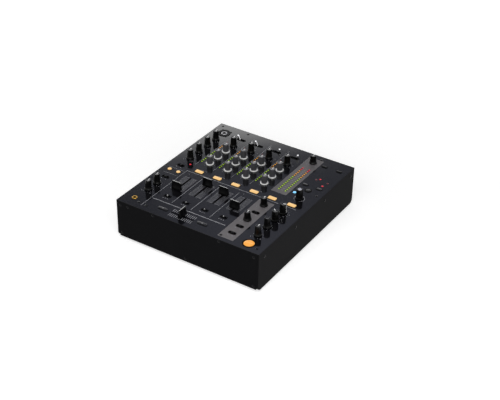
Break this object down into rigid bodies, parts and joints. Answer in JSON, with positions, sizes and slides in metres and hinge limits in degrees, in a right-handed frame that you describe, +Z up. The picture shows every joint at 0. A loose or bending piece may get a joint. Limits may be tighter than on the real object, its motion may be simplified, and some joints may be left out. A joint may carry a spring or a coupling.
{
  "type": "dj mixer",
  "caption": "Table-top DJ mixer: a flat panel of rotary knobs, faders, levers, lit cue buttons and lamp rows over a shallow metal case with rear jacks.",
  "frame": {"origin": "middle of the footprint, on the table under the feet", "axes": "+X to the operator's right, +Y to the back, +Z up"},
  "size_m": [0.32, 0.368, 0.108],
  "materials": {
    "panel_paint": "satin dark grey paint",
    "case_black": "fine matt black paint",
    "knob_black": "soft black moulding",
    "knob_grey": "soft grey moulding with a white ring",
    "lever_metal": "bright plating",
    "switch_black": "black moulding",
    "button_dark": "dark grey moulding",
    "amber_lens": "lit amber lens",
    "lamp_lens": "lit clear lens",
    "rubber_foot": "soft black rubber",
    "socket_black": "black moulding",
    "socket_gold": "gold plating",
    "jack_metal": "bright plating",
    "board_green": "coated circuit board",
    "component_steel": "moulded control body"
  },
  "bodies": {
    "case": {"bottom_chassis": "case_black", "side_panels": "case_black", "front_panel": "case_black", "rear_panel": "case_black", "top_panel": "panel_paint", "feet": "rubber_foot", "control_board": "board_green", "control_bodies": "component_steel", "fader_units": "component_steel", "indicator_lights": "lamp_lens", "power_supply": "board_green", "mic_socket": "socket_black", "phones_socket": "socket_gold", "rear_jacks": "jack_metal", "mains_inlet": "socket_black"},
    "mic_low_knob": {"mic_low_knob": "knob_black"},
    "mic_high_knob": {"mic_high_knob": "knob_black"},
    "mic_two_knob": {"mic_two_knob": "knob_black"},
    "mic_one_knob": {"mic_one_knob": "knob_black"},
    "phones_mix_knob": {"phones_mix_knob": "knob_black"},
    "phones_level_knob": {"phones_level_knob": "knob_black"},
    "trim_1_knob": {"trim_1_knob": "knob_black"},
    "low_1_knob": {"low_1_knob": "knob_grey"},
    "mid_1_knob": {"mid_1_knob": "knob_grey"},
    "high_1_knob": {"high_1_knob": "knob_grey"},
    "trim_2_knob": {"trim_2_knob": "knob_black"},
    "low_2_knob": {"low_2_knob": "knob_grey"},
    "mid_2_knob": {"mid_2_knob": "knob_grey"},
    "high_2_knob": {"high_2_knob": "knob_grey"},
    "trim_3_knob": {"trim_3_knob": "knob_black"},
    "low_3_knob": {"low_3_knob": "knob_grey"},
    "mid_3_knob": {"mid_3_knob": "knob_grey"},
    "high_3_knob": {"high_3_knob": "knob_grey"},
    "trim_4_knob": {"trim_4_knob": "knob_black"},
    "low_4_knob": {"low_4_knob": "knob_grey"},
    "mid_4_knob": {"mid_4_knob": "knob_grey"},
    "high_4_knob": {"high_4_knob": "knob_grey"},
    "master_level_knob": {"master_level_knob": "knob_black"},
    "balance_knob": {"balance_knob": "knob_black"},
    "booth_level_knob": {"booth_level_knob": "knob_black"},
    "effect_amount_knob": {"effect_amount_knob": "knob_black"},
    "effect_select_knob": {"effect_select_knob": "knob_black"},
    "effect_channel_knob": {"effect_channel_knob": "knob_black"},
    "effect_time_knob": {"effect_time_knob": "knob_black"},
    "effect_depth_knob": {"effect_depth_knob": "knob_black"},
    "channel_fader_1": {"channel_fader_1": "knob_black"},
    "channel_fader_2": {"channel_fader_2": "knob_black"},
    "channel_fader_3": {"channel_fader_3": "knob_black"},
    "channel_fader_4": {"channel_fader_4": "knob_black"},
    "crossfader": {"crossfader": "knob_black"},
    "input_lever_1": {"input_lever_1": "lever_metal"},
    "input_lever_2": {"input_lever_2": "lever_metal"},
    "input_lever_3": {"input_lever_3": "lever_metal"},
    "input_lever_4": {"input_lever_4": "lever_metal"},
    "assign_switches": {"assign_switches": "switch_black"},
    "mode_switches": {"mode_switches": "switch_black"},
    "cue_buttons": {"cue_buttons": "amber_lens"},
    "effect_on_button": {"effect_on_button": "amber_lens"},
    "function_buttons": {"function_buttons": "button_dark"},
    "power_switch": {"power_switch": "switch_black"}
  },
  "joints": [
    {"name": "mic_low_turn", "type": "hinge", "parent": "case", "child": "mic_low_knob", "pos_m": [-0.1315, 0.0185, 0.0865], "axis": [0, 0, 1], "range_deg": [-150, 150]},
    {"name": "mic_high_turn", "type": "hinge", "parent": "case", "child": "mic_high_knob", "pos_m": [-0.1315, 0.0491, 0.0865], "axis": [0, 0, 1], "range_deg": [-150, 150]},
    {"name": "mic_two_turn", "type": "hinge", "parent": "case", "child": "mic_two_knob", "pos_m": [-0.1315, 0.0797, 0.0865], "axis": [0, 0, 1], "range_deg": [-150, 150]},
    {"name": "mic_one_turn", "type": "hinge", "parent": "case", "child": "mic_one_knob", "pos_m": [-0.1315, 0.1103, 0.0865], "axis": [0, 0, 1], "range_deg": [-150, 150]},
    {"name": "phones_mix_turn", "type": "hinge", "parent": "case", "child": "phones_mix_knob", "pos_m": [-0.1315, -0.0935, 0.0865], "axis": [0, 0, 1], "range_deg": [-150, 150]},
    {"name": "phones_level_turn", "type": "hinge", "parent": "case", "child": "phones_level_knob", "pos_m": [-0.1315, -0.121, 0.0865], "axis": [0, 0, 1], "range_deg": [-150, 150]},
    {"name": "trim_1_turn", "type": "hinge", "parent": "case", "child": "trim_1_knob", "pos_m": [-0.0866, 0.109, 0.0865], "axis": [0, 0, 1], "range_deg": [-150, 150]},
    {"name": "low_1_turn", "type": "hinge", "parent": "case", "child": "low_1_knob", "pos_m": [-0.0866, 0.0228, 0.0865], "axis": [0, 0, 1], "range_deg": [-150, 150]},
    {"name": "mid_1_turn", "type": "hinge", "parent": "case", "child": "mid_1_knob", "pos_m": [-0.0866, 0.05153, 0.0865], "axis": [0, 0, 1], "range_deg": [-150, 150]},
    {"name": "high_1_turn", "type": "hinge", "parent": "case", "child": "high_1_knob", "pos_m": [-0.0866, 0.08027, 0.0865], "axis": [0, 0, 1], "range_deg": [-150, 150]},
    {"name": "trim_2_turn", "type": "hinge", "parent": "case", "child": "trim_2_knob", "pos_m": [-0.0438, 0.109, 0.0865], "axis": [0, 0, 1], "range_deg": [-150, 150]},
    {"name": "low_2_turn", "type": "hinge", "parent": "case", "child": "low_2_knob", "pos_m": [-0.0438, 0.0228, 0.0865], "axis": [0, 0, 1], "range_deg": [-150, 150]},
    {"name": "mid_2_turn", "type": "hinge", "parent": "case", "child": "mid_2_knob", "pos_m": [-0.0438, 0.05153, 0.0865], "axis": [0, 0, 1], "range_deg": [-150, 150]},
    {"name": "high_2_turn", "type": "hinge", "parent": "case", "child": "high_2_knob", "pos_m": [-0.0438, 0.08027, 0.0865], "axis": [0, 0, 1], "range_deg": [-150, 150]},
    {"name": "trim_3_turn", "type": "hinge", "parent": "case", "child": "trim_3_knob", "pos_m": [-0.001, 0.109, 0.0865], "axis": [0, 0, 1], "range_deg": [-150, 150]},
    {"name": "low_3_turn", "type": "hinge", "parent": "case", "child": "low_3_knob", "pos_m": [-0.001, 0.0228, 0.0865], "axis": [0, 0, 1], "range_deg": [-150, 150]},
    {"name": "mid_3_turn", "type": "hinge", "parent": "case", "child": "mid_3_knob", "pos_m": [-0.001, 0.05153, 0.0865], "axis": [0, 0, 1], "range_deg": [-150, 150]},
    {"name": "high_3_turn", "type": "hinge", "parent": "case", "child": "high_3_knob", "pos_m": [-0.001, 0.08027, 0.0865], "axis": [0, 0, 1], "range_deg": [-150, 150]},
    {"name": "trim_4_turn", "type": "hinge", "parent": "case", "child": "trim_4_knob", "pos_m": [0.0418, 0.109, 0.0865], "axis": [0, 0, 1], "range_deg": [-150, 150]},
    {"name": "low_4_turn", "type": "hinge", "parent": "case", "child": "low_4_knob", "pos_m": [0.0418, 0.0228, 0.0865], "axis": [0, 0, 1], "range_deg": [-150, 150]},
    {"name": "mid_4_turn", "type": "hinge", "parent": "case", "child": "mid_4_knob", "pos_m": [0.0418, 0.05153, 0.0865], "axis": [0, 0, 1], "range_deg": [-150, 150]},
    {"name": "high_4_turn", "type": "hinge", "parent": "case", "child": "high_4_knob", "pos_m": [0.0418, 0.08027, 0.0865], "axis": [0, 0, 1], "range_deg": [-150, 150]},
    {"name": "master_level_turn", "type": "hinge", "parent": "case", "child": "master_level_knob", "pos_m": [0.0828, 0.142, 0.0865], "axis": [0, 0, 1], "range_deg": [-150, 150]},
    {"name": "balance_turn", "type": "hinge", "parent": "case", "child": "balance_knob", "pos_m": [0.0828, -0.0445, 0.0865], "axis": [0, 0, 1], "range_deg": [-150, 150]},
    {"name": "booth_level_turn", "type": "hinge", "parent": "case", "child": "booth_level_knob", "pos_m": [0.0828, -0.102, 0.0865], "axis": [0, 0, 1], "range_deg": [-150, 150]},
    {"name": "effect_amount_turn", "type": "hinge", "parent": "case", "child": "effect_amount_knob", "pos_m": [0.126, 0.0145, 0.0865], "axis": [0, 0, 1], "range_deg": [-150, 150]},
    {"name": "effect_select_turn", "type": "hinge", "parent": "case", "child": "effect_select_knob", "pos_m": [0.126, -0.046, 0.0865], "axis": [0, 0, 1], "range_deg": [-68, 232]},
    {"name": "effect_channel_turn", "type": "hinge", "parent": "case", "child": "effect_channel_knob", "pos_m": [0.126, -0.0742, 0.0865], "axis": [0, 0, 1], "range_deg": [-172, 68]},
    {"name": "effect_time_turn", "type": "hinge", "parent": "case", "child": "effect_time_knob", "pos_m": [0.126, -0.102, 0.0865], "axis": [0, 0, 1], "range_deg": [-150, 150]},
    {"name": "effect_depth_turn", "type": "hinge", "parent": "case", "child": "effect_depth_knob", "pos_m": [0.126, -0.1335, 0.0865], "axis": [0, 0, 1], "range_deg": [-150, 150]},
    {"name": "channel_fader_1_slide", "type": "slide", "parent": "case", "child": "channel_fader_1", "axis": [0, 1, 0], "range_m": [0, 0.045]},
    {"name": "channel_fader_2_slide", "type": "slide", "parent": "case", "child": "channel_fader_2", "axis": [0, 1, 0], "range_m": [-0.04253, 0.00248]},
    {"name": "channel_fader_3_slide", "type": "slide", "parent": "case", "child": "channel_fader_3", "axis": [0, 1, 0], "range_m": [-0.0351, 0.0099]},
    {"name": "channel_fader_4_slide", "type": "slide", "parent": "case", "child": "channel_fader_4", "axis": [0, 1, 0], "range_m": [-0.00751, 0.03748]},
    {"name": "crossfader_slide", "type": "slide", "parent": "case", "child": "crossfader", "axis": [1, 0, 0], "range_m": [-0.0225, 0.0225]},
    {"name": "input_lever_1_tip", "type": "hinge", "parent": "case", "child": "input_lever_1", "pos_m": [-0.0866, 0.138, 0.0805], "axis": [0, 1, 0], "range_deg": [0, 56]},
    {"name": "input_lever_2_tip", "type": "hinge", "parent": "case", "child": "input_lever_2", "pos_m": [-0.0438, 0.138, 0.0805], "axis": [0, 1, 0], "range_deg": [0, 56]},
    {"name": "input_lever_3_tip", "type": "hinge", "parent": "case", "child": "input_lever_3", "pos_m": [-0.001, 0.138, 0.0805], "axis": [0, 1, 0], "range_deg": [-56, 0]},
    {"name": "input_lever_4_tip", "type": "hinge", "parent": "case", "child": "input_lever_4", "pos_m": [0.0418, 0.138, 0.0805], "axis": [0, 1, 0], "range_deg": [-56, 0]},
    {"name": "assign_slide", "type": "slide", "parent": "case", "child": "assign_switches", "axis": [1, 0, 0], "range_m": [-0.003, 0.003]},
    {"name": "mode_slide", "type": "slide", "parent": "case", "child": "mode_switches", "axis": [1, 0, 0], "range_m": [-0.003, 0.003]},
    {"name": "cue_press", "type": "slide", "parent": "case", "child": "cue_buttons", "axis": [0, 0, -1], "range_m": [0, 0.0008], "stiffness_N_per_m": 1500, "springref_m": -0.0004},
    {"name": "effect_on_press", "type": "slide", "parent": "case", "child": "effect_on_button", "axis": [0, 0, -1], "range_m": [0, 0.0008], "stiffness_N_per_m": 1500, "springref_m": -0.0004},
    {"name": "function_press", "type": "slide", "parent": "case", "child": "function_buttons", "axis": [0, 0, -1], "range_m": [0, 0.0008], "stiffness_N_per_m": 1500, "springref_m": -0.0004},
    {"name": "power_rocker", "type": "hinge", "parent": "case", "child": "power_switch", "pos_m": [0.0977, 0.174, 0.04475], "axis": [1, 0, 0], "range_deg": [-14, 0]}
  ]
}
